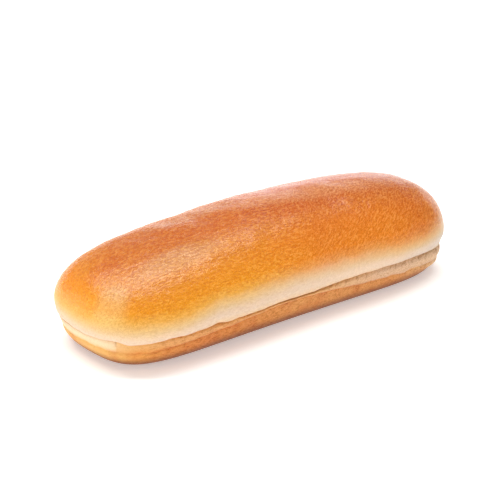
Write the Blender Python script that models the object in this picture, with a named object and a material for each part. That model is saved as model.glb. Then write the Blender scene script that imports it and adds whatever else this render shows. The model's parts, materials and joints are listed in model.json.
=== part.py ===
"""Brioche hot dog bun, uncut, as one closed body.

The bun lies along X on its flat base, with the side that is usually shown
towards -Y. Closed rings of points are stacked from the base to the top. From
below they follow a rounded lower crust, a faint fold, a narrow band, the crease
that parts the lower crust from the dome, and the dome itself. Every ring is the
plan outline of the bun, drawn in by a distance that depends on its height.
"""

import math

import bmesh
import bpy
import numpy as np

MM = 0.001

# Overall size
HALF_LENGTH = 80.0 * MM
HALF_WIDTH = 28.2 * MM
HEIGHT = 39.7 * MM
WIDEST_HEIGHT = 16.2 * MM       # where the sides stand upright

# Plan outline, a superellipse: higher powers are squarer
OUTLINE_POWER_X = 6.1
OUTLINE_POWER_Y = 2.6

# Dome, above the widest height
DOME_POWER_Z = 2.05
DOME_POWER_X = 8.9              # how late the two ends round over
DOME_POWER_Y = 2.1              # how round the cross-section is

# Lower crust, below the widest height
BASE_INSET = 9.8 * MM           # the flat base is this far inside the outline
LOWER_POWER = 1.97
LOWER_SETBACK_SIDE = 1.4 * MM   # how far the crust under the fold stands back
LOWER_SETBACK_END = 0.2 * MM
END_SHARPNESS = 4               # how late along the bun the ends begin

# Crease between the dome and the lower crust
CREASE_HEIGHT = 11.4 * MM
CREASE_WANDER = 0.35 * MM       # it rises and falls this much along the bun
CREASE_WANDER_LENGTH = 93.0 * MM
CREASE_CREST = 33.0 * MM
CREASE_STEP = 0.8 * MM          # and steps up where it rounds the -X end
CREASE_STEP_START = 0.92        # places along the bun, 0 to 1
CREASE_STEP_END = 0.96
CREASE_DEPTH = 1.5 * MM
LIP_INSET = 0.8 * MM            # the dome's lower edge curls in by this much
LIP_INSET_CHANGE = 0.45 * MM    # more towards +X, less towards -X
LIP_CURL = 1.7
LIP_RADIUS = 0.9 * MM
LIP_UNDERSIDE = 0.4             # where the lip's underside turns, as a part of its radius

# Band under the crease, pinched almost shut at one place on each long side
BAND_HEIGHT_FULL = 5.4 * MM
BAND_HEIGHT_PINCH = 1.0 * MM
BAND_PINCH_FRONT = -0.05        # places along the bun, -1 to 1
BAND_PINCH_BACK = 0.30
BAND_PINCH_SPREAD_LOW_X = 0.55
BAND_PINCH_SPREAD_HIGH_X = 0.36
BAND_SETBACK = 1.5 * MM
BAND_BULGE = 0.35 * MM
BAND_LEVELS = (0.22, 0.52, 0.82)  # rings up the band
FOLD_DEPTH = 0.45 * MM
FOLD_HALF_WIDTH = 0.5 * MM

# How the baked bun departs from a true form
TAPER = 0.14                    # the -X end is wider, the +X end narrower
BEND = 2.5 * MM                 # the middle is pushed towards +Y
DOME_ARCH = 0.19                # the dome is lower at both ends
DOME_RISE = 0.055               # and higher towards +X
SWELL_LIFT = 0.15 * MM
SWELL_LIFT_LENGTH = 47.0 * MM
SWELL_LIFT_START = 16.0 * MM
SWELL_SIDE = 0.15 * MM
SWELL_SIDE_LENGTH = 62.0 * MM
SWELL_SIDE_START = 6.0 * MM
DIMPLE_LIFT = 0.12 * MM
DIMPLE_LENGTH = 19.0 * MM

# Resolution
POINTS_ROUND = 136
OUTLINE_SAMPLES = 4000
BASE_RINGS = 2
LOWER_RINGS = 6
WALL_RINGS = 4
DOME_RINGS = 18

CRUST_COLOUR = (0.62, 0.25, 0.075, 1.0)
CRUST_ROUGHNESS = 0.45


def remove_everything():
    """Empty the scene."""
    for item in list(bpy.data.objects):
        bpy.data.objects.remove(item, do_unlink=True)


def signed_power(values, power):
    """Raise to a power and keep the sign."""
    return np.sign(values) * np.abs(values) ** power


def plan_outline():
    """Points of the widest outline, evenly spaced, and their outward directions."""
    angle = np.linspace(0.0, 2.0 * math.pi, OUTLINE_SAMPLES + 1)
    x = HALF_LENGTH * signed_power(np.cos(angle), 2.0 / OUTLINE_POWER_X)
    y = HALF_WIDTH * signed_power(np.sin(angle), 2.0 / OUTLINE_POWER_Y)
    run = np.concatenate(([0.0], np.cumsum(np.hypot(np.diff(x), np.diff(y)))))
    stops = np.linspace(0.0, run[-1], POINTS_ROUND, endpoint=False)
    x = np.interp(stops, run, x)
    y = np.interp(stops, run, y)
    out_x = signed_power(x / HALF_LENGTH, OUTLINE_POWER_X - 1.0) * OUTLINE_POWER_X / HALF_LENGTH
    out_y = signed_power(y / HALF_WIDTH, OUTLINE_POWER_Y - 1.0) * OUTLINE_POWER_Y / HALF_WIDTH
    size = np.hypot(out_x, out_y)
    return np.stack((x, y), axis=1), np.stack((out_x / size, out_y / size), axis=1)


def lower_inset(height):
    """How far the rounded lower body stands inside the outline at a height."""
    depth = np.clip(1.0 - height / WIDEST_HEIGHT, 0.0, 1.0)
    return BASE_INSET * (1.0 - (1.0 - depth ** LOWER_POWER) ** (1.0 / LOWER_POWER))


def side_to_end(side_value, end_value, place):
    """A value that is steady along the two long sides and changes at the ends."""
    return side_value + (end_value - side_value) * place ** END_SHARPNESS


def crease_height(place):
    """Height of the crease at a place along the bun, -1 to 1."""
    turns = (place * HALF_LENGTH - CREASE_CREST) / CREASE_WANDER_LENGTH
    step = (-place - CREASE_STEP_START) / (CREASE_STEP_END - CREASE_STEP_START)
    step = np.clip(step, 0.0, 1.0)
    step = step * step * (3.0 - 2.0 * step)
    return CREASE_HEIGHT + CREASE_WANDER * np.cos(2.0 * math.pi * turns) + CREASE_STEP * step


def band_height(place, side):
    """Height of the band at a place along the bun, -1 to 1, on the -Y or +Y side."""
    pinch = np.where(side < 0.0, BAND_PINCH_FRONT, BAND_PINCH_BACK)
    away = place - pinch
    spread = np.where(away < 0.0, BAND_PINCH_SPREAD_LOW_X, BAND_PINCH_SPREAD_HIGH_X)
    closing = np.exp(-((away / spread) ** 2))
    return BAND_HEIGHT_FULL - (BAND_HEIGHT_FULL - BAND_HEIGHT_PINCH) * closing


class RingStack:
    """The rings of the bun, in order from the base to the top."""

    def __init__(self):
        self.outline, self.outward = plan_outline()
        self.place = self.outline[:, 0] / HALF_LENGTH
        self.crease = crease_height(self.place)
        self.fold = self.crease - band_height(self.place, self.outline[:, 1])
        self.lip_inset = LIP_INSET + LIP_INSET_CHANGE * self.place
        self.lower_setback = side_to_end(LOWER_SETBACK_SIDE, LOWER_SETBACK_END, self.place)
        self.rings = []

    def add(self, height, extra_inset):
        """One ring below the widest height."""
        height = height + np.zeros(POINTS_ROUND)
        inset = lower_inset(height) + extra_inset
        plan = self.outline - self.outward * inset[:, None]
        self.rings.append(np.column_stack((plan, height)))

    def add_base(self):
        """Rings inside the flat base, then its edge."""
        for step in range(BASE_RINGS):
            self.add(0.0, BASE_INSET * (BASE_RINGS - step) / (BASE_RINGS + 1))
        self.add(0.0, 0.0)

    def add_lower_crust(self):
        """From the base's edge up to just under the fold."""
        for step in range(1, LOWER_RINGS):
            part = step / LOWER_RINGS
            self.add(self.fold * part ** 2, self.lower_setback * part ** 2)
        self.add(self.fold - FOLD_HALF_WIDTH, self.lower_setback)

    def add_band(self):
        """The fold and the slightly rounded band over it."""
        band = self.crease - self.fold
        self.add(self.fold, BAND_SETBACK + FOLD_DEPTH)
        for part in BAND_LEVELS:
            bulge = BAND_BULGE * math.sin(math.pi * part)
            self.add(self.fold + band * part, BAND_SETBACK - bulge)

    def add_crease(self):
        """The bottom of the crease and the curled lower edge of the dome."""
        self.add(self.crease, BAND_SETBACK + CREASE_DEPTH)
        turn = LIP_UNDERSIDE * LIP_RADIUS
        self.add(self.crease + turn, self.lip_inset + turn)
        self.add(self.crease + LIP_RADIUS, self.lip_inset)

    def add_wall(self):
        """From the curled edge up to the widest height."""
        start = self.crease + LIP_RADIUS
        for step in range(1, WALL_RINGS + 1):
            part = step / WALL_RINGS
            height = start + (WIDEST_HEIGHT - start) * part
            self.add(height, self.lip_inset * (1.0 - part) ** LIP_CURL)

    def add_dome(self):
        """The dome, closing in towards a line along its top."""
        for step in range(1, DOME_RINGS + 1):
            rise = math.sin(0.5 * math.pi * step / (DOME_RINGS + 1))
            left = 1.0 - rise ** DOME_POWER_Z
            x = self.outline[:, 0] * left ** (1.0 / DOME_POWER_X)
            y = self.outline[:, 1] * left ** (1.0 / DOME_POWER_Y)
            z = np.full(POINTS_ROUND, WIDEST_HEIGHT + (HEIGHT - WIDEST_HEIGHT) * rise)
            self.rings.append(np.column_stack((x, y, z)))

    def stack(self):
        """All rings."""
        self.add_base()
        self.add_lower_crust()
        self.add_band()
        self.add_crease()
        self.add_wall()
        self.add_dome()
        return self.rings


def half_ring(ring):
    """Numbers of the points on a ring's +Y side, from the +X tip to the -X tip."""
    return range(1, len(ring) // 2)


def base_line(ring):
    """Points along the middle of the flat base, one for each pair across the ring."""
    return np.array([(ring[i][0], 0.0, 0.0) for i in half_ring(ring)])


def top_line(ring):
    """Points along the top of the dome, one for each pair across the last ring."""
    points = []
    for i in half_ring(ring):
        left = (abs(ring[i][0]) / HALF_LENGTH) ** DOME_POWER_X
        rise = (1.0 - left) ** (1.0 / DOME_POWER_Z)
        points.append((ring[i][0], 0.0, WIDEST_HEIGHT + (HEIGHT - WIDEST_HEIGHT) * rise))
    return np.array(points)


def settle(points):
    """Taper, bend, arch and swell the true form into the baked one."""
    x, y, z = points[:, 0], points[:, 1], points[:, 2]
    place = x / HALF_LENGTH
    rise = np.clip(z / HEIGHT, 0.0, 1.0)
    turn = 2.0 * math.pi
    side = SWELL_SIDE * np.sin(turn * (x + SWELL_SIDE_START) / SWELL_SIDE_LENGTH)
    lift = SWELL_LIFT * np.sin(turn * (x + SWELL_LIFT_START) / SWELL_LIFT_LENGTH)
    dimple = np.sin(turn * x / DIMPLE_LENGTH) * np.cos(turn * y / DIMPLE_LENGTH)
    new_y = y * (1.0 - TAPER * place) + BEND * (1.0 - place ** 2) + side * rise
    new_z = z * (1.0 + (DOME_RISE * place - DOME_ARCH * place ** 2) * rise)
    new_z = new_z + (lift + DIMPLE_LIFT * dimple) * rise ** 2
    return np.column_stack((x, new_y, new_z))


def add_points(mesh, points):
    """New vertices of the mesh at the settled points."""
    return [mesh.verts.new(point) for point in settle(points)]


def join_rings(mesh, lower, upper):
    """A belt of four-sided faces between two rings."""
    count = len(lower)
    for i in range(count):
        j = (i + 1) % count
        mesh.faces.new((lower[i], lower[j], upper[j], upper[i]))


def close_ring(mesh, ring, line):
    """Fill a ring with faces that meet on the line along its middle."""
    count = len(ring)
    mesh.faces.new((ring[0], ring[1], line[0]))
    mesh.faces.new((ring[0], line[0], ring[-1]))
    for i in range(1, len(line)):
        mesh.faces.new((ring[i], ring[i + 1], line[i], line[i - 1]))
        mesh.faces.new((ring[count - i], line[i - 1], line[i], ring[count - i - 1]))
    middle = count // 2
    mesh.faces.new((ring[middle - 1], ring[middle], line[-1]))
    mesh.faces.new((ring[middle + 1], line[-1], ring[middle]))


def centre_on_footprint(mesh):
    """Put the middle of the bun's box at x = y = 0."""
    for axis in (0, 1):
        places = [vertex.co[axis] for vertex in mesh.verts]
        middle = 0.5 * (min(places) + max(places))
        for vertex in mesh.verts:
            vertex.co[axis] -= middle


def bun_mesh():
    """The closed body as mesh data."""
    rings = RingStack().stack()
    mesh = bmesh.new()
    loops = [add_points(mesh, ring) for ring in rings]
    for lower, upper in zip(loops, loops[1:]):
        join_rings(mesh, lower, upper)
    close_ring(mesh, loops[0], add_points(mesh, base_line(rings[0])))
    close_ring(mesh, loops[-1], add_points(mesh, top_line(rings[-1])))
    centre_on_footprint(mesh)
    bmesh.ops.recalc_face_normals(mesh, faces=mesh.faces)
    data = bpy.data.meshes.new("bun")
    mesh.to_mesh(data)
    mesh.free()
    data.shade_smooth()
    return data


def crust_material():
    """Golden brown crust."""
    material = bpy.data.materials.new("crust")
    material.use_nodes = True
    shader = material.node_tree.nodes["Principled BSDF"]
    shader.inputs["Base Color"].default_value = CRUST_COLOUR
    shader.inputs["Roughness"].default_value = CRUST_ROUGHNESS
    shader.inputs["Metallic"].default_value = 0.0
    return material


def main():
    """Build the bun."""
    remove_everything()
    bun = bpy.data.objects.new("bun", bun_mesh())
    bun.data.materials.append(crust_material())
    bpy.context.scene.collection.objects.link(bun)


main()
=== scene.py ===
"""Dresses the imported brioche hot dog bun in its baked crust, and sets its floor, light and camera."""

import json
import logging
import math
from dataclasses import dataclass
from enum import Enum
from typing import Any

import bpy
import numpy as np
from mathutils import Matrix, Vector

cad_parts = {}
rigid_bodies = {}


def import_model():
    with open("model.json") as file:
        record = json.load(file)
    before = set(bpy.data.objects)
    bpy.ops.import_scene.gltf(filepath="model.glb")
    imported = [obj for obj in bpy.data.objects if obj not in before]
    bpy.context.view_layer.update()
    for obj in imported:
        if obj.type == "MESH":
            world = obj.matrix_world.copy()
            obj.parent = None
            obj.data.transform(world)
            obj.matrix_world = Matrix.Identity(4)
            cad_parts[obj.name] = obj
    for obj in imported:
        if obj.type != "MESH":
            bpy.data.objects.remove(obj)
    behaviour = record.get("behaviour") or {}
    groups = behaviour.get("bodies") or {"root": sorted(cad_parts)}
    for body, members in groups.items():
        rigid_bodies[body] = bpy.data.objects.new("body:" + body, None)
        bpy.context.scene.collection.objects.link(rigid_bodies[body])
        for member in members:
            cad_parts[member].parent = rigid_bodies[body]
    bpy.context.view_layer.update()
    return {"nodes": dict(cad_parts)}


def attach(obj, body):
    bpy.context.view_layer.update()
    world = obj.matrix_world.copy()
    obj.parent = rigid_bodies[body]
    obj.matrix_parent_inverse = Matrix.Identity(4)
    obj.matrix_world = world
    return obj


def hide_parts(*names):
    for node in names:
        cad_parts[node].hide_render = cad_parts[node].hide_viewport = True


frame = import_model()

log = logging.getLogger("bun")

MM = 0.001
SENSOR_WIDTH = 36
# Watts for each square metre of a light's cloth at a brightness of 1.
AREA_LIGHT_POWER = 4
NODE = "bun"

Triple = tuple[float, float, float]
Colour = Triple
Stops = tuple[tuple[float, Colour], ...]

# How far the wrinkles at the right are turned about each axis.
SLANT = (0.0, math.radians(-26), math.radians(28))


class Mark(Enum):
    """What the bun's mesh carries at each point for its finish to read."""

    ABOVE_CREASE = "height_above_crease_mm"
    ABOVE_FOLD = "height_above_fold_mm"
    FACING_UP = "facing_up"


class Zone(Enum):
    """The parts of the crust that take relief of their own."""

    WHOLE = "above the base"
    EVEN = "dome with wrinkles along it"
    SLANTED = "dome with slanted wrinkles"
    TIPS = "crease at both tips"
    FILL = "shallower crease at both tips"
    BEAD = "plump bead of the band"
    CHEEK = "fuller band at the right tip"
    LINES = "crease and fold"


class Measure(Enum):
    """What places a point of the mesh on the bun, in millimetres."""

    ALONG = "along the bun"
    ACROSS = "across the bun"
    HEIGHT = "over the base"
    FROM_MIDDLE = "along the bun from its middle, either way"
    ABOVE_CREASE = "over the crease"
    ABOVE_FOLD = "over the fold"
    FROM_CREASE = "from the crease, up or down"
    FROM_GROOVE = "from the groove just under the crease, up or down"
    FROM_FOLD = "from the fold, up or down"
    PAST_TEAR = "past the tear, away from the tip"


Measures = dict[Measure, np.ndarray]


def linear(colour: Colour) -> Colour:
    """Turns a screen colour, from 0 to 255, into the light from 0 to 1 that sockets take."""
    shares = (part / 255 for part in colour)
    return tuple(s / 12.92 if s <= 0.04045 else ((s + 0.055) / 1.055) ** 2.4 for s in shares)


def smooth_step(values: np.ndarray, low: float, high: float) -> np.ndarray:
    """Rises smoothly with the values from 0 at low to 1 at high, and falls where high is below low."""
    share = np.clip((values - low) / (high - low), 0, 1)
    return share * share * (3 - 2 * share)


class Wire:
    """One output of a shader node, which Python's own operators do sums on."""

    def __init__(self, sheet: "Sheet", socket: bpy.types.NodeSocket | None) -> None:
        """Keeps the node sheet and the output socket."""
        self.sheet = sheet
        self.socket = socket

    def _sum(self, operation: str, *parts: "Wire | float") -> "Wire":
        """The output of a Math node with this operation on these parts, in order."""
        return self.sheet.node("ShaderNodeMath", {"operation": operation}, dict(enumerate(parts)))

    def __add__(self, other: "Wire | float") -> "Wire":
        """This plus the other."""
        return self._sum("ADD", self, other)

    def __radd__(self, other: float) -> "Wire":
        """The other plus this."""
        return self._sum("ADD", other, self)

    def __sub__(self, other: "Wire | float") -> "Wire":
        """This less the other."""
        return self._sum("SUBTRACT", self, other)

    def __rsub__(self, other: float) -> "Wire":
        """The other less this."""
        return self._sum("SUBTRACT", other, self)

    def __mul__(self, other: "Wire | float") -> "Wire":
        """This times the other."""
        return self._sum("MULTIPLY", self, other)

    def __rmul__(self, other: float) -> "Wire":
        """The other times this."""
        return self._sum("MULTIPLY", other, self)

    def __truediv__(self, other: "Wire | float") -> "Wire":
        """This over the other."""
        return self._sum("DIVIDE", self, other)

    def size(self) -> "Wire":
        """This without its sign."""
        return self._sum("ABSOLUTE", self)

    def step(self, low: float, high: float) -> "Wire":
        """Rises smoothly from 0 at low to 1 at high.

        Args:
            low: where the rise starts.
            high: where it ends; below low, the step falls instead.

        Returns:
            A share from 0 to 1.
        """
        if low > high:
            return 1 - self.step(high, low)
        return self.sheet.node(
            "ShaderNodeMapRange",
            {"interpolation_type": "SMOOTHSTEP"},
            {"Value": self, "From Min": low, "From Max": high},
        )

    def bump_at(self, centre: float, reach: float) -> "Wire":
        """A smooth bump that is 1 at the centre and falls to 0 at its reach to each side."""
        return (self - centre).size().step(reach, 0)


class Sheet:
    """The node sheet of one material or world, to which every node is added by one method."""

    def __init__(self, owner: bpy.types.Material | bpy.types.World) -> None:
        """Empties the owner's node tree and keeps it.

        Args:
            owner: the material or world.
        """
        owner.use_nodes = True
        self.tree = owner.node_tree
        self.tree.nodes.clear()

    def node(
        self, kind: str, settings: dict[str, Any], sockets: dict[Any, Any], output: str | int | None = None
    ) -> Wire:
        """Adds a node.

        Args:
            kind: the node's type.
            settings: its own settings, which are set first; "stops" fills a colour ramp.
            sockets: values or wires for its inputs, by name or number.
            output: the output that is wanted, by name or number; the first by default.

        Returns:
            The wanted output.
        """
        made = self.tree.nodes.new(kind)
        for name, value in settings.items():
            if name == "stops":
                self._fill(made.color_ramp, value)
            else:
                setattr(made, name, value)
        for name, value in sockets.items():
            if isinstance(value, Wire):
                self.tree.links.new(value.socket, made.inputs[name])
            else:
                made.inputs[name].default_value = value
        if output is not None:
            return Wire(self, made.outputs[output])
        return Wire(self, next((socket for socket in made.outputs if socket.enabled), None))

    @staticmethod
    def _fill(ramp: bpy.types.ColorRamp, stops: Stops) -> None:
        """Gives a ramp its stops.

        Args:
            ramp: the ramp.
            stops: each stop's place from 0 to 1 and its screen colour.
        """
        ramp.interpolation = "LINEAR"
        while len(ramp.elements) < len(stops):
            ramp.elements.new(1)
        for element, (place, colour) in zip(ramp.elements, stops):
            element.position = place
            element.color = (*linear(colour), 1)

    def place(self) -> Wire:
        """The point on the piece, in metres."""
        return self.node("ShaderNodeTexCoord", {}, {}, "Object")

    def part(self, vector: Wire, axis: str) -> Wire:
        """One of a vector's three parts, in its own units."""
        return self.node("ShaderNodeSeparateXYZ", {}, {0: vector}, axis)

    def attribute(self, name: str) -> Wire:
        """A value that the piece's mesh carries at each point."""
        return self.node("ShaderNodeAttribute", {"attribute_name": name}, {}, "Fac")

    def ramp(self, value: Wire, stops: Stops) -> Wire:
        """Colours by a value.

        Args:
            value: the value to colour by.
            stops: some of its values, from low to high, with their screen colours.

        Returns:
            The colour.
        """
        low, high = stops[0][0], stops[-1][0]
        scaled = tuple(((at - low) / (high - low), colour) for at, colour in stops)
        share = self.node("ShaderNodeMapRange", {}, {"Value": value, "From Min": low, "From Max": high})
        return self.node("ShaderNodeValToRGB", {"stops": scaled}, {0: share}, "Color")

    def blend(self, share: Wire | float, under: Wire | Colour, over: Wire | Colour, how: str = "MIX") -> Wire:
        """Lays one colour over another.

        Args:
            share: how much of the upper colour shows, from 0 to 1.
            under: the colour below, a wire or a screen colour.
            over: the colour on top, likewise.
            how: the Mix node's blend type.

        Returns:
            The mixed colour.
        """
        inks = [ink if isinstance(ink, Wire) else (*linear(ink), 1) for ink in (under, over)]
        settings = {
            "data_type": "RGBA",
            "blend_type": how,
            "clamp_factor": True,
            "clamp_result": how == "ADD",
        }
        return self.node("ShaderNodeMix", settings, {0: share, 6: inks[0], 7: inks[1]}, 2)

    def stretched(self, point: Wire, sizes: Triple, turn: Triple = (0, 0, 0)) -> Wire:
        """Points on which a pattern is drawn out by sizes along its own axes, turned by radians."""
        sockets = {"Vector": point, "Rotation": turn, "Scale": sizes}
        return self.node("ShaderNodeMapping", {"vector_type": "TEXTURE"}, sockets)

    def noise(
        self, point: Wire, scale: float, detail: float = 2, roughness: float = 0.5, distortion: float = 0
    ) -> Wire:
        """Cloudy noise from 0 to 1, whose scale is lumps to the metre before any stretching."""
        layers = {"Scale": scale, "Detail": detail, "Roughness": roughness, "Distortion": distortion}
        return self.node("ShaderNodeTexNoise", {"noise_dimensions": "3D"}, {"Vector": point} | layers, 0)


@dataclass(frozen=True)
class Span:
    """A smooth change with some measure of the bun, which is in millimetres where it is a length.

    It runs from the value before it, at its start, to that value plus the amount, at its end.
    """

    start: float
    end: float
    amount: float = 1.0
    before: float = 0.0

    def on(self, value: Wire) -> Wire:
        """Follows the change in a finish.

        Args:
            value: the measure.

        Returns:
            What the change has come to.
        """
        change = value.step(self.start, self.end)
        if self.amount != 1:
            change = change * self.amount
        return change + self.before if self.before else change

    def over(self, values: np.ndarray) -> np.ndarray:
        """What the change has come to at each point of a mesh, from the measure there."""
        return self.before + smooth_step(values, self.start, self.end) * self.amount


@dataclass(frozen=True)
class Tear:
    """The short upright tear across the band by the left tip, beside which the band is plump and pale.

    Sizes are in millimetres; the heading is the crust's own there, in degrees, away from the tip.
    """

    x: float = -74.8
    y: float = -18.2
    heading: float = -37.0
    width: float = 0.55

    def past(self, along: Wire | np.ndarray, across: Wire | np.ndarray) -> Wire | np.ndarray:
        """How far a point lies past the tear in millimetres, below 0 on the tip's side."""
        ahead, aside = math.cos(math.radians(self.heading)), math.sin(math.radians(self.heading))
        return (along - self.x) * ahead + (across - self.y) * aside


@dataclass(frozen=True)
class PaintedLightPatch:
    """A soft-edged oval place on the dome, as seen from above, with a painted highlight or painted shade laid
    on the crust.

    Sizes are in millimetres; the slant is how far it drifts across for each millimetre along.
    """

    x: float
    y: float
    length: float
    width: float
    slant: float
    shade: Colour

    def share(self, along: Wire, across: Wire) -> Wire:
        """How much of the patch shows.

        Args:
            along: the place along the bun, in millimetres.
            across: the place across it, likewise.

        Returns:
            1 in its middle, falling to 0 at its edge.
        """
        ahead = along - self.x
        aside = across - self.y - ahead * self.slant
        return (ahead * ahead / self.length ** 2 + aside * aside / self.width ** 2).step(1, 0)


@dataclass(frozen=True)
class Spot:
    """What the crust's finish reads at each point of the bun; lengths are in millimetres."""

    sheet: Sheet
    point: Wire
    along: Wire
    across: Wire
    height: Wire
    above_crease: Wire
    above_fold: Wire
    facing_up: Wire
    patch: Wire
    mottle: Wire
    wrinkles: Wire
    crests: Wire
    troughs: Wire


@dataclass(frozen=True)
class CrustFinish:
    """The egg-washed brioche crust: cream by the crease, golden on the shoulder, orange brown on top.

    Colours are screen colours of the bare crust, lengths are in millimetres, and the scales of
    noises are lumps to the metre.
    """

    name: str = "brioche crust"
    ior: float = 1.40
    gloss_roughness: float = 0.23
    pale_roughness: float = 0.55
    subsurface: float = 0.06
    subsurface_scale: float = 1.5 * MM
    subsurface_radius: Triple = (1.0, 0.40, 0.15)
    tear: Tear = Tear()

    # Noises.
    patch_scale: float = 32
    mottle_scale: float = 160
    crumb_scale: float = 900
    grain_scale: float = 2600
    dull_scale: float = 300
    bump_scale: float = 1800

    # The fine wrinkles: along the bun at the left, slanting at the right, with a ragged change-over.
    level_scale: float = 1650
    level_stretch: Triple = (2.8, 1, 1)
    slanting_scale: float = 1900
    slanting_stretch: Triple = (3.5, 1, 1)
    wrinkle_detail: float = 1.5
    wrinkle_roughness: float = 0.6
    wrinkle_distortion: float = 0.5
    change_over: Span = Span(-15, 25)
    change_scale: float = 40
    change_spread: float = 80
    wrinkle_crest: Span = Span(0.50, 0.64, 0.6)
    wrinkle_trough: Span = Span(0.50, 0.36, 0.6)
    grain_crest: Span = Span(0.50, 0.62, 0.4)
    grain_trough: Span = Span(0.50, 0.38, 0.4)
    wrinkle_height: float = 0.14 * MM
    bump_grain: float = 0.6
    bump_by_height: Span = Span(15, 23, 0.88, 0.12)

    # The wall and the dome, coloured by height, by facing up and along the bun.
    left_rise: Span = Span(-35, -58, 3.0)
    right_rise: Span = Span(30, 55, 1.5)
    right_fall: Span = Span(74, 64)
    patch_rise: float = 3.0
    mottle_rise: float = 1.6
    side: Stops = (
        (11.0, (230, 193, 151)),
        (12.3, (229, 198, 162)),
        (14.0, (227, 201, 177)),
        (16.0, (230, 200, 171)),
        (18.0, (231, 195, 148)),
        (20.0, (239, 191, 122)),
        (22.0, (244, 176, 74)),
        (25.0, (248, 159, 27)),
    )
    crown: Stops = (
        (0.42, (255, 255, 250)),
        (0.70, (242, 232, 255)),
        (0.88, (222, 207, 168)),
        (1.00, (200, 155, 150)),
    )
    crown_over: Span = Span(18, 23)
    baking: Stops = (
        (-78.0, (250, 248, 226)),
        (-64.0, (255, 255, 250)),
        (-25.0, (254, 248, 236)),
        (12.0, (245, 214, 244)),
        (42.0, (243, 211, 198)),
        (60.0, (228, 187, 148)),
        (76.0, (212, 194, 225)),
    )
    baking_over: Span = Span(16, 23)
    # Painted shade: the pale wall greyer towards the right tip, on the side the lamps light less.
    right_tip_shade: Colour = (236, 243, 255)
    grey_along: Span = Span(25, 70)
    grey_under: Span = Span(20, 15)
    # Painted shade: the dome's far slope darker, between the lamps' reflections.
    far_slope_shade: Colour = (254, 244, 208)
    far_across: Span = Span(-2, 8)
    far_over: Span = Span(20, 25)
    # Painted light: a sheen patch adds its shade to the crust as a painted highlight, and a shade patch
    # multiplies the crust by its shade as painted shade beside the reflections.
    painted_sheen_patches: tuple[PaintedLightPatch, ...] = (
        PaintedLightPatch(-74.5, -15.5, 8, 8, 0, (0, 94, 86)),
        PaintedLightPatch(-46, -14.5, 24, 6, 0, (0, 70, 58)),
        PaintedLightPatch(22, -3.2, 46, 7, -0.115, (80, 88, 72)),
        PaintedLightPatch(-24, 7, 28, 6, -0.04, (0, 66, 60)),
    )
    # Painted shade: darker places beside the highlight streaks on the dome.
    painted_shade_patches: tuple[PaintedLightPatch, ...] = (
        PaintedLightPatch(-67, -1.5, 11, 6.5, 0, (250, 228, 137)),
        PaintedLightPatch(-12, -8.2, 52, 5, -0.115, (255, 246, 190)),
    )
    patches_over: Span = Span(19, 23)

    # How strongly the wrinkles show there.
    wall_wrinkling: float = 0.33
    dome_wrinkling: float = 0.45
    wrinkling_over: Span = Span(18, 25)
    wrinkling_to_right: Span = Span(-40, 10, 0.2)
    wrinkling_on_top: Span = Span(0.76, 0.94, 0.3)
    # Crests: lighter crust with painted glints added; troughs: browner crust with painted shade in the
    # hollows.
    crest_tone_and_glint: Colour = (108, 102, 64)
    crest_share: float = 1.25
    trough_tone_and_shade: Colour = (219, 188, 106)
    trough_share: float = 0.74

    # The band, with its pale bead and the tear beside that.
    band: Stops = (
        (-74.0, (224, 170, 98)),
        (-58.0, (229, 165, 98)),
        (-25.0, (225, 160, 94)),
        (12.0, (224, 170, 110)),
        (42.0, (223, 184, 148)),
        (76.0, (220, 184, 146)),
    )
    band_drift: float = 20
    # Greyer under the crease at the right tip: crumb, and painted shade under the lip.
    band_grey_and_shade: Colour = (226, 216, 206)
    band_grey_along: Span = Span(35, 55)
    band_grey_under: Span = Span(-3.2, -0.6)
    band_grey_crumb: Span = Span(0.40, 0.65)
    bead_cream: Colour = (242, 211, 170)
    bead_crisp: Span = Span(0.4, -0.2, 0.45)
    bead_soft: Span = Span(7, -5, 0.55)
    bead_along: Span = Span(-40, -66)
    bead_across: Span = Span(20, 8)
    tear_brown: Colour = (178, 124, 76)
    tear_along: Span = Span(-60, -66, 0.6)
    tear_under: Span = Span(-2.4, -0.8)

    # The lower crust, the ragged edge between it and the band, and the fold.
    lower: Stops = (
        (-80.0, (236, 212, 162)),
        (-74.0, (233, 182, 104)),
        (-66.0, (235, 162, 77)),
        (-48.0, (219, 132, 58)),
        (-28.0, (216, 136, 57)),
        (0.0, (222, 152, 78)),
        (50.0, (222, 150, 78)),
        (62.0, (230, 182, 124)),
        (76.0, (230, 198, 156)),
    )
    lower_drift: float = 24
    lower_mottle: Colour = (236, 200, 172)
    lower_mottled: Span = Span(0.42, 0.68, 0.6)
    # Darker towards the base: a browner baked edge and painted shade where the bun meets the floor.
    base_edge_brown_and_shade: Colour = (146, 86, 50)
    base_edge_darkening: Span = Span(5.6, 1.2, 0.9)
    edge_dip_at: float = -20
    edge_dip_reach: float = 70
    edge_dip: float = 0.9
    raggedness: Span = Span(20, 50, 2.2, 0.8)
    edge_softness: Span = Span(-50, -68, 2.1, 0.5)
    edge_share: Span = Span(-50, -68, -0.25, 0.3)
    fold_rust: Colour = (196, 100, 44)
    fold_reach: float = 0.5
    fold_least: float = 0.15
    fold_mottle: float = 0.5
    fold_from_left: Span = Span(-74, -60)
    fold_to_right: Span = Span(52, 30)

    # The grain of all that lies under the crease, and the crease itself.
    crumb_light: Colour = (252, 214, 168)
    crumb_light_share: float = 0.1
    crumb_shade: Colour = (208, 176, 142)
    grained: Span = Span(-76, -50, 0.6, 0.25)
    crease_edge: Span = Span(-0.15, 0.15)
    # The crease line: browner crust and painted shade in the crease, darker at the tips where the groove is
    # filled in.
    crease_brown_and_shade: Colour = (150, 104, 66)
    crease_at: float = -0.1
    crease_reach: float = 0.4
    crease_mottle: float = 0.45
    crease_at_tips: Span = Span(58, 70, 0.35, 0.12)

    # The glaze.
    glazed: Span = Span(15, 22)
    dull_grain: float = 0.10
    dull_troughs: Span = Span(0.52, 0.40, 0.08)
    dull_at_left: Span = Span(20, -20)

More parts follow.
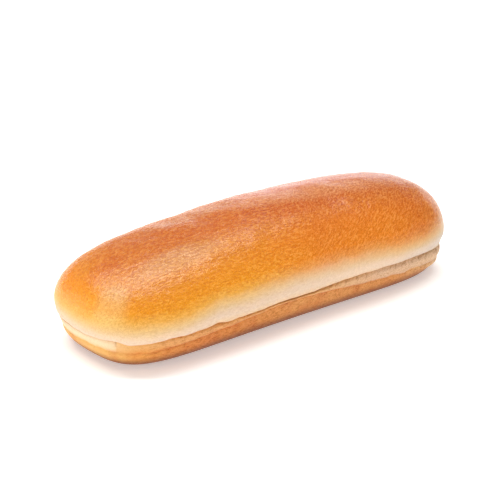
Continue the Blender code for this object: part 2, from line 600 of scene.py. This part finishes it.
    def material(self) -> bpy.types.Material:
        """Builds the crust's material.

        Returns:
            The material.
        """
        made = bpy.data.materials.new(self.name)
        sheet = Sheet(made)
        spot = self.read(sheet)
        shader = sheet.node(
            "ShaderNodeBsdfPrincipled",
            {"subsurface_method": "RANDOM_WALK"},
            {
                "Base Color": self.colours(spot),
                "Roughness": self.roughness(spot),
                "IOR": self.ior,
                "Subsurface Weight": self.subsurface,
                "Subsurface Radius": self.subsurface_radius,
                "Subsurface Scale": self.subsurface_scale,
                "Normal": self.relief(spot),
            },
        )
        sheet.node("ShaderNodeOutputMaterial", {}, {"Surface": shader})
        return made

    def read(self, sheet: Sheet) -> Spot:
        """Reads all that the finish goes by.

        Args:
            sheet: the material's node sheet.

        Returns:
            What is read at each point.
        """
        point = sheet.place()
        along, across, height = (sheet.part(point, axis) * (1 / MM) for axis in "XYZ")
        marks = (sheet.attribute(mark.value) for mark in Mark)
        patch = sheet.noise(point, self.patch_scale)
        mottle = sheet.noise(point, self.mottle_scale, 3)
        wrinkles = self.wrinkles(sheet, point, along)
        grain = sheet.noise(point, self.grain_scale, 1)
        crests = self.wrinkle_crest.on(wrinkles) + self.grain_crest.on(grain)
        troughs = self.wrinkle_trough.on(wrinkles) + self.grain_trough.on(grain)
        return Spot(sheet, point, along, across, height, *marks, patch, mottle, wrinkles, crests, troughs)

    def wrinkles(self, sheet: Sheet, point: Wire, along: Wire) -> Wire:
        """Draws the crepe of fine wrinkles, along the bun at the left and slanting at the right.

        Args:
            sheet: the material's node sheet.
            point: the point on the bun, in metres.
            along: its place along the bun, in millimetres.

        Returns:
            A cloudy value from 0 to 1: crests above a half, hollows below it.
        """
        look = self.wrinkle_detail, self.wrinkle_roughness, self.wrinkle_distortion
        level = sheet.noise(sheet.stretched(point, self.level_stretch), self.level_scale, *look)
        slanted = sheet.stretched(point, self.slanting_stretch, SLANT)
        slanting = sheet.noise(slanted, self.slanting_scale, *look)
        drift = (sheet.noise(point, self.change_scale, 1) - 0.5) * self.change_spread
        share = self.change_over.on(along + drift)
        return level * (1 - share) + slanting * share

    def colours(self, spot: Spot) -> Wire:
        """Paints the whole crust.

        Args:
            spot: what is read at each point.

        Returns:
            The colour.
        """
        sheet = spot.sheet
        grained = self.grained.on(spot.along)
        under = self.under_colours(spot)
        under = sheet.blend(spot.crests * grained * self.crumb_light_share, under, self.crumb_light)
        under = sheet.blend(spot.troughs * grained, under, self.crumb_shade, "MULTIPLY")
        whole = sheet.blend(self.crease_edge.on(spot.above_crease), under, self.upper_colours(spot))
        # Browner crust and painted shade along the crease.
        dark = self.crease_at_tips.on(spot.along.size()) + spot.mottle * self.crease_mottle
        crease = spot.above_crease.bump_at(self.crease_at, self.crease_reach)
        return sheet.blend(crease * dark, whole, self.crease_brown_and_shade)

    def upper_colours(self, spot: Spot) -> Wire:
        """Paints the dome and the pale wall above the crease.

        Args:
            spot: what is read at each point.

        Returns:
            The colour.
        """
        sheet, along, across = spot.sheet, spot.along, spot.across
        ends = self.left_rise.on(along) + self.right_rise.on(along) * self.right_fall.on(along)
        clouds = (spot.patch - 0.5) * self.patch_rise + (spot.mottle - 0.5) * self.mottle_rise
        browning = spot.height + ends + clouds
        upper = sheet.ramp(browning, self.side)
        crown = sheet.ramp(spot.facing_up, self.crown)
        upper = sheet.blend(self.crown_over.on(browning), upper, crown, "MULTIPLY")
        upper = sheet.blend(self.baking_over.on(browning), upper, sheet.ramp(along, self.baking), "MULTIPLY")
        # Painted shade: the wall greyer towards the right tip.
        greyed = self.grey_along.on(along) * self.grey_under.on(browning)
        upper = sheet.blend(greyed, upper, self.right_tip_shade, "MULTIPLY")
        # Painted shade on the far slope, between the reflections.
        far_slope_shaded = self.far_across.on(across) * self.far_over.on(browning)
        upper = sheet.blend(far_slope_shaded, upper, self.far_slope_shade, "MULTIPLY")
        # Painted highlights and painted shade where the lamps' reflections fall on the dome.
        for patches, how in ((self.painted_sheen_patches, "ADD"), (self.painted_shade_patches, "MULTIPLY")):
            for patch in patches:
                shown = patch.share(along, across) * self.patches_over.on(browning)
                upper = sheet.blend(shown, upper, patch.shade, how)
        lively = self.wrinkling_to_right.on(along) + self.wrinkling_on_top.on(spot.facing_up)
        strength = self.wall_wrinkling + self.wrinkling_over.on(browning) * (self.dome_wrinkling + lively)
        # Painted glints on the crests and painted shade in the troughs, besides the wrinkles' own tone.
        upper = sheet.blend(spot.crests * strength * self.crest_share, upper, self.crest_tone_and_glint, "ADD")
        return sheet.blend(spot.troughs * strength * self.trough_share, upper, self.trough_tone_and_shade, "MULTIPLY")

    def under_colours(self, spot: Spot) -> Wire:
        """Paints the band, the fold under it and the lower crust.

        Args:
            spot: what is read at each point.

        Returns:
            The colour.
        """
        edge = spot.above_fold + (spot.mottle - 0.5) * self.raggedness.on(spot.along)
        shown = edge / self.edge_softness.on(spot.along) + self.edge_share.on(spot.along)
        under = spot.sheet.blend(shown, self.lower_colours(spot), self.band_colours(spot))
        reach = self.fold_from_left.on(spot.along) * self.fold_to_right.on(spot.along)
        dark = self.fold_least + spot.mottle * self.fold_mottle
        line = spot.above_fold.bump_at(0, self.fold_reach) * dark * reach
        return spot.sheet.blend(line, under, self.fold_rust)

    def band_colours(self, spot: Spot) -> Wire:
        """Paints the band: greyer at the right tip, partly crumb and partly painted shade under the lip, with
        the pale bead and the tear at the left one.

        Args:
            spot: what is read at each point.

        Returns:
            The colour.
        """
        sheet, along = spot.sheet, spot.along
        band = sheet.ramp(along + (spot.patch - 0.5) * self.band_drift, self.band)
        crumb = self.band_grey_crumb.on(sheet.noise(spot.point, self.crumb_scale))
        # Crumb, and painted shade under the lip at the right tip.
        greyed = self.band_grey_along.on(along) * self.band_grey_under.on(spot.above_crease) * crumb
        band = sheet.blend(greyed, band, self.band_grey_and_shade, "MULTIPLY")
        past_tear = self.tear.past(along, spot.across)
        bead = self.bead_crisp.on(past_tear) + self.bead_soft.on(past_tear)
        bead = bead * self.bead_along.on(along) * self.bead_across.on(spot.across)
        band = sheet.blend(bead, band, self.bead_cream)
        tear = past_tear.bump_at(0, self.tear.width) * self.tear_along.on(along)
        return sheet.blend(tear * self.tear_under.on(spot.above_crease), band, self.tear_brown)

    def lower_colours(self, spot: Spot) -> Wire:
        """Paints the lower crust, mottled, and darker towards the base: a browner baked edge and painted
        shade where it meets the floor.

        Args:
            spot: what is read at each point.

        Returns:
            The colour.
        """
        sheet = spot.sheet
        lower = sheet.ramp(spot.along + (spot.patch - 0.5) * self.lower_drift, self.lower)
        lower = sheet.blend(self.lower_mottled.on(spot.mottle), lower, self.lower_mottle, "MULTIPLY")
        dip = spot.along.bump_at(self.edge_dip_at, self.edge_dip_reach) * self.edge_dip
        return sheet.blend(self.base_edge_darkening.on(spot.height - dip), lower, self.base_edge_brown_and_shade)

    def roughness(self, spot: Spot) -> Wire:
        """Sets how matt the crust is: glazed on the dome, dull where it is pale and between the wrinkles.

        Args:
            spot: what is read at each point.

        Returns:
            The roughness.
        """
        grain = (spot.sheet.noise(spot.point, self.dull_scale) - 0.5) * self.dull_grain
        troughs = self.dull_troughs.on(spot.wrinkles) * self.dull_at_left.on(spot.along)
        glaze = self.glazed.on(spot.height) * (self.pale_roughness - self.gloss_roughness)
        return self.pale_roughness - glaze + (grain + troughs)

    def relief(self, spot: Spot) -> Wire:
        """Raises the grain that is too fine for the mesh.

        Args:
            spot: what is read at each point.

        Returns:
            The bent normal.
        """
        grain = spot.sheet.noise(spot.point, self.bump_scale, 1) * self.bump_grain
        crepe = (spot.wrinkles + grain) * self.bump_by_height.on(spot.height)
        sockets = {"Height": crepe, "Distance": self.wrinkle_height, "Strength": 1.0}
        return spot.sheet.node("ShaderNodeBump", {}, sockets)


@dataclass(frozen=True)
class FloorFinish:
    """A matt, nearly white studio floor."""

    name: str = "pale floor"
    colour: Colour = (250, 250, 250)
    roughness: float = 0.9
    specular: float = 0.1
    glow: float = 0.35

    def material(self) -> bpy.types.Material:
        """Builds the floor's material.

        Returns:
            The material.
        """
        made = bpy.data.materials.new(self.name)
        sheet = Sheet(made)
        tint = (*linear(self.colour), 1)
        sockets = {
            "Base Color": tint,
            "Roughness": self.roughness,
            "Specular IOR Level": self.specular,
            "Emission Color": tint,
            "Emission Strength": self.glow,
        }
        shader = sheet.node("ShaderNodeBsdfPrincipled", {}, sockets)
        sheet.node("ShaderNodeOutputMaterial", {}, {"Surface": shader})
        return made


@dataclass(frozen=True)
class Swell:
    """One layer of raised relief, as a noise that pushes the crust in and out."""

    name: str
    zone: Zone
    lump: float
    height: float
    stretch: Triple = (1, 1, 1)
    turn: Triple = (0, 0, 0)
    direction: str = "NORMAL"

    def press(self, piece: bpy.types.Object) -> None:
        """Pushes the piece's surface in and out, and applies it.

        Args:
            piece: the piece, which is the active object.
        """
        noise = bpy.data.textures.new(self.name, "CLOUDS")
        noise.noise_basis = "IMPROVED_PERLIN"
        noise.noise_scale = 1.0
        noise.noise_depth = 1
        guide = bpy.data.objects.new(self.name, None)
        bpy.context.scene.collection.objects.link(guide)
        guide.rotation_euler = self.turn
        guide.scale = tuple(self.lump * s for s in self.stretch)
        bpy.context.view_layer.update()
        push = piece.modifiers.new(self.name, "DISPLACE")
        push.texture = noise
        push.texture_coords = "OBJECT"
        push.texture_coords_object = guide
        push.vertex_group = self.zone.value
        push.direction = self.direction
        push.strength = self.height
        push.mid_level = 0.5
        bpy.ops.object.modifier_apply(modifier=push.name)
        bpy.data.objects.remove(guide)


@dataclass(frozen=True)
class Region:
    """A soft-edged stretch of the crust in one zone, as the span of each measure that bounds it."""

    zone: Zone
    bounds: dict[Measure, Span]

    def weight(self, measures: Measures) -> np.ndarray:
        """How much each point belongs to the region, from 0 to 1."""
        return np.prod([span.over(measures[measure]) for measure, span in self.bounds.items()], axis=0)


@dataclass(frozen=True)
class LineRound:
    """A line that runs right round the bun, as its height at each bearing from the middle."""

    bearings: np.ndarray
    heights: np.ndarray

    def under(self, bearings: np.ndarray) -> np.ndarray:
        """The line's height at those bearings."""
        return np.interp(bearings, self.bearings, self.heights, period=2 * math.pi)


@dataclass
class Bun:
    """The bun itself: one soft baked solid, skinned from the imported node's own shape.

    Its sizes are in metres, but the spans of its regions are in millimetres.
    """

    name: str = "brioche_bun"
    merge_distance: float = 0.001 * MM
    flattest_quad: float = math.radians(60)
    smoothing: int = 2
    line_bins: int = 100
    crease_levels: tuple[float, float] = (9.5 * MM, 15.0 * MM)
    fold_levels: tuple[float, float] = (4.5 * MM, 11.0 * MM)
    fold_gap: float = 0.7 * MM
    groove_drop: float = 0.4 * MM
    tip_softness: int = 40
    tip_fill: float = 1.0 * MM
    bead_height: float = 0.75 * MM
    cheek_height: float = 1.05 * MM
    tear: Tear = Tear()
    finish: CrustFinish = CrustFinish()
    regions: tuple[Region, ...] = (
        Region(Zone.WHOLE, {Measure.HEIGHT: Span(0.5, 5)}),
        Region(Zone.EVEN, {Measure.HEIGHT: Span(14, 22), Measure.ALONG: Span(30, -20)}),
        Region(Zone.SLANTED, {Measure.HEIGHT: Span(14, 22), Measure.ALONG: Span(-20, 30)}),
        Region(
            Zone.TIPS,
            {
                Measure.FROM_MIDDLE: Span(62, 74),
                Measure.ABOVE_CREASE: Span(4, 1.5),
                Measure.HEIGHT: Span(2.5, 4.5),
            },
        ),
        Region(Zone.FILL, {Measure.FROM_MIDDLE: Span(60, 73), Measure.FROM_GROOVE: Span(1.9, 0.2)}),
        Region(Zone.FILL, {Measure.ALONG: Span(-64, -74, 0.6), Measure.FROM_FOLD: Span(1.8, 0.2)}),
        Region(
            Zone.BEAD,
            {
                Measure.PAST_TEAR: Span(0.9, -1.2),
                Measure.ACROSS: Span(20, 8),
                Measure.ALONG: Span(-40, -66),
                Measure.ABOVE_CREASE: Span(0, -1),
                Measure.ABOVE_FOLD: Span(-0.6, 2.2),
            },
        ),
        Region(
            Zone.CHEEK,
            {
                Measure.ALONG: Span(58, 70),
                Measure.HEIGHT: Span(2.5, 5),
                Measure.ABOVE_CREASE: Span(0, -2.8),
            },
        ),
        Region(
            Zone.LINES,
            {
                Measure.FROM_CREASE: Span(3.5, 0.8),
                Measure.ALONG: Span(-10, 40, -0.6, 1),
                Measure.HEIGHT: Span(3, 6),
            },
        ),
        Region(
            Zone.LINES,
            {
                Measure.FROM_FOLD: Span(2.5, 0.6),
                Measure.ALONG: Span(-10, 40, -0.6, 1),
                Measure.HEIGHT: Span(3, 6),
            },
        ),
    )
    swells: tuple[Swell, ...] = (
        Swell("slow swelling", Zone.WHOLE, 16 * MM, 0.9 * MM),
        Swell("soft unevenness", Zone.WHOLE, 6 * MM, 0.2 * MM),
        Swell("wavering lines", Zone.LINES, 7 * MM, 1.6 * MM, direction="Z"),
        Swell("level wrinkles", Zone.EVEN, 1.7 * MM, 0.26 * MM, (2.0, 1, 1)),
        Swell("slanted wrinkles", Zone.SLANTED, 1.7 * MM, 0.18 * MM, (2.0, 1, 1), SLANT),
    )

    def build(self) -> bpy.types.Object:
        """Builds the bun and dresses it.

        Returns:
            The finished piece.
        """
        piece = self.copy_of_node()
        crease, fold = self.find_lines(piece)
        self.smooth(piece)
        measures = self.measure(piece, crease, fold)
        self.mark(piece, measures)
        self.divide(piece, measures)
        self.soften_tips(piece)
        self.push_out(piece, Zone.BEAD, self.bead_height)
        self.push_out(piece, Zone.CHEEK, self.cheek_height)
        for swell in self.swells:
            swell.press(piece)
        piece.vertex_groups.clear()
        piece.data.materials.clear()
        piece.data.materials.append(self.finish.material())
        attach(piece, "root")
        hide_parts(NODE)
        log.info("%s: %d faces", piece.name, len(piece.data.polygons))
        return piece

    def copy_of_node(self) -> bpy.types.Object:
        """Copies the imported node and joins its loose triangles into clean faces.

        Returns:
            The copy, which nothing carries yet.
        """
        bpy.ops.object.select_all(action="DESELECT")
        node = frame["nodes"][NODE]
        node.select_set(True)
        bpy.context.view_layer.objects.active = node
        bpy.ops.object.duplicate()
        piece = bpy.context.view_layer.objects.active
        bpy.ops.object.parent_clear(type="CLEAR_KEEP_TRANSFORM")
        for key in list(piece.keys()):
            del piece[key]
        piece.name = piece.data.name = self.name
        bpy.ops.object.mode_set(mode="EDIT")
        bpy.ops.mesh.select_all(action="SELECT")
        bpy.ops.mesh.remove_doubles(threshold=self.merge_distance)
        bpy.ops.mesh.tris_convert_to_quads(
            face_threshold=self.flattest_quad, shape_threshold=self.flattest_quad
        )
        bpy.ops.object.mode_set(mode="OBJECT")
        return piece

    def find_lines(self, piece: bpy.types.Object) -> tuple[LineRound, LineRound]:
        """Finds the crease and the fold under it on the copy's own shape.

        Args:
            piece: the copy of the node, before it is smoothed.

        Returns:
            The crease and the fold.
        """
        points = points_of(piece.data)
        hollow = hollows_of(piece.data, points)
        bearings = bearings_of(points)
        crease = self.deepest(points[:, 2], hollow, bearings, self.crease_levels)
        below = points[:, 2] < crease.under(bearings) - self.fold_gap
        fold = self.deepest(points[:, 2], np.where(below, hollow, -1), bearings, self.fold_levels)
        return crease, fold

    def deepest(
        self, heights: np.ndarray, hollow: np.ndarray, bearings: np.ndarray, levels: tuple[float, float]
    ) -> LineRound:
        """Follows the deepest hollow between two heights right round the bun.

        Args:
            heights: each point's height.
            hollow: how hollow the surface is at each point.
            bearings: each point's bearing.
            levels: the lowest and the highest height that is looked at.

        Returns:
            The line along that hollow.
        """
        low, high = levels
        turns = np.floor((bearings + math.pi) / (2 * math.pi) * self.line_bins).astype(int) % self.line_bins
        found = []
        for turn in range(self.line_bins):
            here = np.flatnonzero((turns == turn) & (heights > low) & (heights < high) & (hollow > 0))
            if len(here):
                best = here[np.argmax(hollow[here])]
                found.append((bearings[best], heights[best]))
        found = np.array(sorted(found))
        soft = (np.roll(found[:, 1], 1) + 2 * found[:, 1] + np.roll(found[:, 1], -1)) / 4
        return LineRound(found[:, 0], soft)

    def smooth(self, piece: bpy.types.Object) -> None:
        """Rounds the copy's facets away.

        Args:
            piece: the copy of the node.
        """
        rounding = piece.modifiers.new("rounding", "SUBSURF")
        rounding.levels = rounding.render_levels = self.smoothing
        bpy.ops.object.modifier_apply(modifier=rounding.name)
        bpy.ops.object.shade_smooth()

    def measure(self, piece: bpy.types.Object, crease: LineRound, fold: LineRound) -> Measures:
        """Takes every measure of the bun's points.

        Args:
            piece: the smoothed bun.
            crease: the line of the crease.
            fold: the line of the fold.

        Returns:
            Each measure at each point, in millimetres.
        """
        points = points_of(piece.data)
        bearings = bearings_of(points)
        along, across, height = points.T / MM
        above_crease = height - crease.under(bearings) / MM
        above_fold = height - fold.under(bearings) / MM
        return {
            Measure.ALONG: along,
            Measure.ACROSS: across,
            Measure.HEIGHT: height,
            Measure.FROM_MIDDLE: np.abs(along),
            Measure.ABOVE_CREASE: above_crease,
            Measure.ABOVE_FOLD: above_fold,
            Measure.FROM_CREASE: np.abs(above_crease),
            Measure.FROM_GROOVE: np.abs(above_crease + self.groove_drop / MM),
            Measure.FROM_FOLD: np.abs(above_fold),
            Measure.PAST_TEAR: self.tear.past(along, across),
        }

    @staticmethod
    def mark(piece: bpy.types.Object, measures: Measures) -> None:
        """Writes on the mesh what the finish reads.

        Args:
            piece: the smoothed bun.
            measures: its measures.
        """
        normals = normals_of(piece.data)
        values = {
            Mark.ABOVE_CREASE: measures[Measure.ABOVE_CREASE],
            Mark.ABOVE_FOLD: measures[Measure.ABOVE_FOLD],
            Mark.FACING_UP: np.clip(normals[:, 2], 0, 1),
        }
        for mark, value in values.items():
            layer = piece.data.attributes.new(mark.value, "FLOAT", "POINT")
            layer.data.foreach_set("value", value.astype(np.float32))

    def divide(self, piece: bpy.types.Object, measures: Measures) -> None:
        """Divides the crust into the zones that take relief.

        Args:
            piece: the smoothed bun.
            measures: its measures.
        """
        for zone in Zone:
            weights = [region.weight(measures) for region in self.regions if region.zone is zone]
            weight = np.max(weights, axis=0)
            group = piece.vertex_groups.new(name=zone.value)
            for index in np.flatnonzero(weight > 0):
                group.add((int(index),), float(weight[index]), "REPLACE")

    def soften_tips(self, piece: bpy.types.Object) -> None:
        """Makes the crease and the fold shallower at both tips.

        Args:
            piece: the smoothed bun, with its zones.
        """
        self.push_out(piece, Zone.FILL, self.tip_fill)
        soft = piece.modifiers.new("softer tips", "SMOOTH")
        soft.vertex_group = Zone.TIPS.value
        soft.factor = 0.5
        soft.iterations = self.tip_softness
        bpy.ops.object.modifier_apply(modifier=soft.name)

    @staticmethod
    def push_out(piece: bpy.types.Object, zone: Zone, height: float) -> None:
        """Pushes one zone of the crust out.

        Args:
            piece: the smoothed bun, with its zones.
            zone: the zone.
            height: how far it is pushed where its weight is full.
        """
        push = piece.modifiers.new(zone.value, "DISPLACE")
        push.vertex_group = zone.value
        push.mid_level = 0
        push.strength = height
        bpy.ops.object.modifier_apply(modifier=push.name)


def points_of(mesh: bpy.types.Mesh) -> np.ndarray:
    """Reads a mesh's points.

    Args:
        mesh: the mesh.

    Returns:
        One row for each point, in metres.
    """
    flat = np.empty(len(mesh.vertices) * 3)
    mesh.vertices.foreach_get("co", flat)
    return flat.reshape(-1, 3)


def normals_of(mesh: bpy.types.Mesh) -> np.ndarray:
    """Reads which way a mesh faces at its points.

    Args:
        mesh: the mesh.

    Returns:
        One row for each point.
    """
    flat = np.empty(len(mesh.vertices) * 3)
    mesh.vertex_normals.foreach_get("vector", flat)
    return flat.reshape(-1, 3)


def bearings_of(points: np.ndarray) -> np.ndarray:
    """Each point's bearing from the middle, on the bun drawn in to a circle."""
    return np.arctan2(points[:, 1] / np.abs(points[:, 1]).max(), points[:, 0] / np.abs(points[:, 0]).max())


def hollows_of(mesh: bpy.types.Mesh, points: np.ndarray) -> np.ndarray:
    """Works out how hollow a mesh is at each of its points.

    Args:
        mesh: the mesh.
        points: its points.

    Returns:
        How far the middle of a point's neighbours stands out from it along its normal, above 0 in a groove.
    """
    ends = np.empty(len(mesh.edges) * 2, dtype=int)
    mesh.edges.foreach_get("vertices", ends)
    ends = ends.reshape(-1, 2)
    total, count = np.zeros_like(points), np.zeros(len(points))
    for near, far in (ends.T, ends.T[::-1]):
        np.add.at(total, near, points[far])
        np.add.at(count, near, 1)
    return ((total / np.maximum(count, 1)[:, None] - points) * normals_of(mesh)).sum(axis=1)


def axes(bearing: float, elevation: float) -> tuple[Vector, Vector, Vector]:
    """The axes of something that looks at the bun.

    Args:
        bearing: degrees round the bun; 0 looks along +Y.
        elevation: degrees above the floor.

    Returns:
        The way back from the bun, the way to the right and the way up.
    """
    a, e = math.radians(bearing), math.radians(elevation)
    back = Vector((math.sin(a) * math.cos(e), -math.cos(a) * math.cos(e), math.sin(e)))
    right = Vector((math.cos(a), math.sin(a), 0))
    return back, right, back.cross(right)


def turned(back: Vector, right: Vector, up: Vector) -> Matrix:
    """The turn of a camera or light whose own +Z, +X and +Y are these, as a 4x4 matrix."""
    return Matrix((right, up, back)).transposed().to_4x4()


@dataclass(frozen=True)
class SoftBox:
    """A rectangular studio light with a plain white cloth front, hung level over the bun, in metres."""

    name: str
    to_right: float
    away: float
    height: float
    width: float
    depth: float
    brightness: float

    def build(self, bearing: float) -> bpy.types.Object:
        """Hangs the light, square to the camera.

        Args:
            bearing: the camera's bearing in degrees; 0 looks along +Y.

        Returns:
            The light.
        """
        data = bpy.data.lights.new(self.name, "AREA")
        data.shape = "RECTANGLE"
        data.size = self.width
        data.size_y = self.depth
        data.energy = self.brightness * self.width * self.depth * AREA_LIGHT_POWER
        lamp = bpy.data.objects.new(self.name, data)
        bpy.context.scene.collection.objects.link(lamp)
        back, right, up = axes(bearing, 0)
        place = right * self.to_right - back * self.away + up * self.height
        lamp.matrix_world = Matrix.Translation(place) @ turned(up, right, -back)
        return lamp


@dataclass(frozen=True)
class Wall:
    """A lit stretch of the studio's wall, seen as a patch of the surroundings; its angles are in degrees."""

    bearing: float
    half_width: float
    top: float
    brightness: float
    edge: float = 8.0

    def glow(self, sheet: Sheet, way: Wire, camera_bearing: float) -> Wire:
        """Works out how bright the wall is in each direction.

        Args:
            sheet: the world's node sheet.
            way: the direction that is looked in.
            camera_bearing: the camera's bearing in degrees, from which the wall's is counted.

        Returns:
            The brightness.
        """
        centre, _, _ = axes(camera_bearing + self.bearing, 0)
        rise = sheet.part(way, "Z")
        flat = sheet.node("ShaderNodeVectorMath", {"operation": "MULTIPLY"}, {0: way, 1: (1, 1, 0)})
        flat = sheet.node("ShaderNodeVectorMath", {"operation": "NORMALIZE"}, {0: flat})
        dot = {"operation": "DOT_PRODUCT"}
        facing = sheet.node("ShaderNodeVectorMath", dot, {0: flat, 1: centre}, "Value")
        inner, outer = (math.cos(math.radians(self.half_width + e)) for e in (-self.edge, self.edge))
        low, high = (math.sin(math.radians(self.top + e)) for e in (-self.edge / 2, self.edge / 2))
        return facing.step(outer, inner) * rise.step(high, low) * self.brightness


@dataclass
class Studio:
    """The pale floor, the soft light and the camera; lengths are in metres and angles in degrees."""

    bearing: float = -37.63
    elevation: float = 21.91
    distance: float = 0.8959
    lens: float = 178.7
    clip_start: float = 0.01
    aim_height: float = 0.020
    aim_right: float = -0.00248
    aim_up: float = 0.00062
    floor_size: float = 8.0
    floor_drop: float = 0.0001
    floor_finish: FloorFinish = FloorFinish()
    lights: tuple[SoftBox, ...] = (
        SoftBox(
            "long overhead box",
            to_right=-0.215,
            away=0.25,
            height=1.0,
            width=1.33,
            depth=0.50,
            brightness=5.0,
        ),
    )
    walls: tuple[Wall, ...] = (
        Wall(bearing=161, half_width=25, top=16, brightness=2.0, edge=4.0),
        Wall(bearing=-35, half_width=80, top=20, brightness=1.35),
    )
    room: float = 0.32

    def build(self) -> None:
        """Sets the whole studio up."""
        self.lay_floor()
        for light in self.lights:
            light.build(self.bearing)
            log.info("%s", light.name)
        self.light_room()
        self.place_camera()

    def lay_floor(self) -> bpy.types.Object:
        """Lays the floor just under the bun.

        Returns:
            The floor.
        """
        bpy.ops.object.select_all(action="DESELECT")
        bpy.ops.mesh.primitive_plane_add(size=self.floor_size, location=(0, 0, -self.floor_drop))
        floor = bpy.context.view_layer.objects.active
        bpy.ops.object.transform_apply(location=True, rotation=False, scale=False)
        floor.name = floor.data.name = "floor"
        floor.data.materials.append(self.floor_finish.material())
        log.info("floor")
        return floor

    def light_room(self) -> None:
        """Lights the room: a dim room with its lit walls."""
        world = bpy.data.worlds.new("studio room")
        bpy.context.scene.world = world
        sheet = Sheet(world)
        way = sheet.node("ShaderNodeTexCoord", {}, {}, "Generated")
        glow = self.room
        for wall in self.walls:
            glow = glow + wall.glow(sheet, way, self.bearing)
        surface = sheet.node("ShaderNodeBackground", {}, {"Strength": glow, "Color": (1, 1, 1, 1)})
        sheet.node("ShaderNodeOutputWorld", {}, {"Surface": surface})

    def place_camera(self) -> bpy.types.Object:
        """Stands the camera where the photograph was taken from.

        Returns:
            The camera.
        """
        data = bpy.data.cameras.new("camera")
        data.lens = self.lens
        data.sensor_width = SENSOR_WIDTH
        data.clip_start = self.clip_start
        camera = bpy.data.objects.new("camera", data)
        bpy.context.scene.collection.objects.link(camera)
        back, right, up = axes(self.bearing, self.elevation)
        aim = Vector((0, 0, self.aim_height)) + right * self.aim_right + up * self.aim_up
        camera.matrix_world = Matrix.Translation(aim + back * self.distance) @ turned(back, right, up)
        bpy.context.scene.camera = camera
        return camera


def main() -> None:
    """Builds the bun and its studio."""
    logging.basicConfig(level=logging.INFO, format="%(message)s")
    Bun().build()
    Studio().build()
    bpy.context.scene.view_settings.view_transform = "Standard"


if __name__ == "__main__":
    main()
